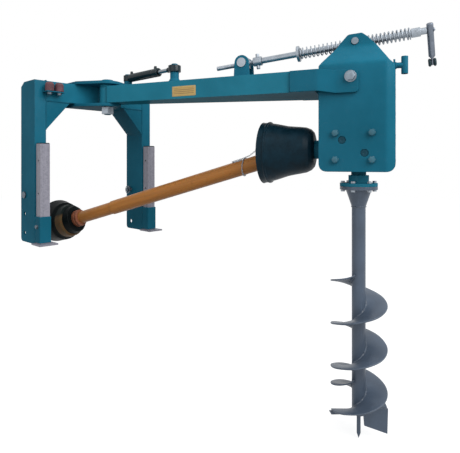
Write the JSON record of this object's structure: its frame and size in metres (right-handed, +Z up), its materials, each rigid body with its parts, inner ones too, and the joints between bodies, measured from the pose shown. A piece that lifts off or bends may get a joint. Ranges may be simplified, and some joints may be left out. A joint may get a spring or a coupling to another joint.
{
  "type": "earth auger",
  "caption": "Post-hole auger for a tractor's three-point linkage: portal frame, slewing boom, tilting head with bevel gearbox, helical auger, guarded drive shaft and parking legs.",
  "frame": {"origin": "midpoint between the two lower hitch pins, on their common axis, where the tractor's lower links hold the implement", "axes": "+X from the tractor towards the auger, +Y to the right of a driver who faces -X, +Z up; the boom is swung 23 degrees towards +Y at rest"},
  "size_m": [1.94, 1.1106, 1.8502],
  "materials": {
    "petrol_blue_paint": "satin petrol blue enamel",
    "housing_paint": "painted casting",
    "galvanised": "galvanised",
    "plated_steel": "zinc plated",
    "red_cap": "matt",
    "cylinder_paint": "satin black",
    "black_plastic": "matt black",
    "yellow_plastic": "satin amber",
    "gear_steel": "machined",
    "auger_paint": "satin slate grey"
  },
  "bodies": {
    "portal": {"left_post": "petrol_blue_paint", "right_post": "petrol_blue_paint", "crossbeam": "petrol_blue_paint", "pivot_top_plate": "petrol_blue_paint", "pivot_bottom_plate": "petrol_blue_paint", "slew_pin": "petrol_blue_paint", "slew_nut": "plated_steel", "top_link_bracket": "petrol_blue_paint", "top_link_pin": "plated_steel", "left_hitch_pin": "plated_steel", "right_hitch_pin": "plated_steel", "left_leg_sleeve": "petrol_blue_paint", "right_leg_sleeve": "petrol_blue_paint", "coupler_holder": "petrol_blue_paint", "near_hose_coupler": "red_cap", "far_hose_coupler": "red_cap", "cylinder_anchor_pin": "petrol_blue_paint"},
    "left_parking_leg": {"left_leg": "galvanised"},
    "right_parking_leg": {"right_leg": "galvanised"},
    "cylinder_body": {"cylinder_barrel": "cylinder_paint"},
    "cylinder_ram": {"cylinder_rod": "cylinder_paint"},
    "boom": {"boom_beam": "petrol_blue_paint", "near_fork_cheek": "petrol_blue_paint", "far_fork_cheek": "petrol_blue_paint", "cylinder_post": "petrol_blue_paint", "spindle_bracket": "petrol_blue_paint", "tilt_bolt": "plated_steel"},
    "nut": {"spindle_nut": "plated_steel"},
    "head": {"near_head_plate": "petrol_blue_paint", "far_head_plate": "petrol_blue_paint", "head_end_plate": "petrol_blue_paint", "gearbox_housing": "housing_paint", "input_bearing": "gear_steel", "output_bearing": "gear_steel", "tee_handle": "petrol_blue_paint", "bell_guard": "black_plastic", "gearbox_yoke": "gear_steel"},
    "spindle_carrier": {"head_trunnion": "plated_steel", "front_spring": "plated_steel", "rear_spring": "plated_steel"},
    "spindle": {"spindle_rod": "plated_steel", "spindle_lock_nut": "plated_steel", "crank_arm": "plated_steel"},
    "crank_grip": {"crank_knob": "black_plastic"},
    "auger": {"output_shaft": "gear_steel", "auger_tube": "auger_paint", "main_flight": "auger_paint", "lower_flight": "auger_paint", "digging_blade": "auger_paint", "edge_blade": "auger_paint"},
    "pinion": {"input_shaft": "gear_steel"},
    "gearbox_spider": {"gearbox_cross": "gear_steel"},
    "shaft_outer": {"outer_shaft": "gear_steel", "outer_guard_tube": "yellow_plastic"},
    "shaft_inner": {"inner_shaft": "gear_steel", "inner_guard_tube": "yellow_plastic", "tractor_cone_guard": "black_plastic"},
    "tractor_spider": {"tractor_cross": "gear_steel"},
    "tractor_fork": {"tractor_yoke": "gear_steel"}
  },
  "joints": [
    {"name": "boom_slew", "type": "hinge", "parent": "portal", "child": "boom", "pos_m": [0.218, 0, 0], "axis": [0, 0, 1], "range_deg": [-30, 5]},
    {"name": "cylinder_swing", "type": "hinge", "parent": "portal", "child": "cylinder_body", "pos_m": [0.182, 0.159, 0.6603], "axis": [0, 0, 1], "range_deg": [-28, 7]},
    {"name": "cylinder_stroke", "type": "slide", "parent": "cylinder_body", "child": "cylinder_ram", "axis": [1, 0.0066, 0], "range_m": [-0.016, 0.081]},
    {"name": "head_tilt", "type": "hinge", "parent": "boom", "child": "head", "pos_m": [1.43491, 0.51655, 0.54], "axis": [-0.3907, 0.9205, 0], "range_deg": [-8, 8]},
    {"name": "spindle_swing", "type": "hinge", "parent": "head", "child": "spindle_carrier", "pos_m": [1.44411, 0.52045, 0.712], "axis": [-0.3907, 0.9205, 0], "range_deg": [-9, 9]},
    {"name": "nut_swing", "type": "hinge", "parent": "boom", "child": "nut", "pos_m": [0.95164, 0.31141, 0.658], "axis": [-0.3907, 0.9205, 0], "range_deg": [-2, 2]},
    {"name": "crank_turn", "type": "hinge", "parent": "spindle_carrier", "child": "spindle", "pos_m": [1.44411, 0.52045, 0.712], "axis": [0.9159, 0.3888, 0.1004], "continuous": true},
    {"name": "knob_spin", "type": "hinge", "parent": "spindle", "child": "crank_grip", "pos_m": [1.42945, 0.58767, 0.5855], "axis": [0.9159, 0.3888, 0.1004], "continuous": true},
    {"name": "auger_spin", "type": "hinge", "parent": "head", "child": "auger", "pos_m": [1.45516, 0.52514, 0.54], "axis": [0, 0, 1], "continuous": true},
    {"name": "input_spin", "type": "hinge", "parent": "head", "child": "pinion", "pos_m": [1.45516, 0.52514, 0.232], "axis": [0.9205, 0.3907, 0], "continuous": true},
    {"name": "shaft_pitch", "type": "hinge", "parent": "head", "child": "gearbox_spider", "pos_m": [1.20938, 0.42082, 0.232], "axis": [-0.3907, 0.9205, 0], "range_deg": [-11, 11]},
    {"name": "shaft_yaw", "type": "hinge", "parent": "gearbox_spider", "child": "shaft_outer", "pos_m": [1.20938, 0.42082, 0.232], "axis": [-0.2611, -0.1108, 0.9589], "range_deg": [-3, 8]},
    {"name": "shaft_slide", "type": "slide", "parent": "shaft_outer", "child": "shaft_inner", "axis": [-0.8899, -0.3573, -0.2836], "range_m": [-0.06, 0.12]},
    {"name": "tractor_joint_swing", "type": "hinge", "parent": "shaft_inner", "child": "tractor_spider", "pos_m": [-0.07044, -0.09297, -0.17593], "axis": [-0.2611, -0.1108, 0.9589], "range_deg": [-10, 10]},
    {"name": "tractor_joint_nod", "type": "hinge", "parent": "tractor_spider", "child": "tractor_fork", "pos_m": [-0.07044, -0.09297, -0.17593], "axis": [0, -0.9934, -0.1148], "range_deg": [-10, 10]},
    {"name": "left_leg_travel", "type": "slide", "parent": "portal", "child": "left_parking_leg", "axis": [0, 0, -1], "range_m": [0, 0.33]},
    {"name": "right_leg_travel", "type": "slide", "parent": "portal", "child": "right_parking_leg", "axis": [0, 0, -1], "range_m": [0, 0.33]}
  ],
  "couplings": [
    {"joint": "cylinder_swing", "follows": "boom_slew", "ratio": 0.86},
    {"joint": "cylinder_stroke", "follows": "boom_slew", "m_per_rad": -0.148},
    {"joint": "shaft_yaw", "follows": "boom_slew", "ratio": -0.209},
    {"joint": "spindle_swing", "follows": "head_tilt", "ratio": -0.9505},
    {"joint": "nut_swing", "follows": "head_tilt", "ratio": 0.0495},
    {"joint": "shaft_pitch", "follows": "head_tilt", "ratio": -1.2236},
    {"joint": "input_spin", "follows": "auger_spin", "ratio": -3}
  ]
}
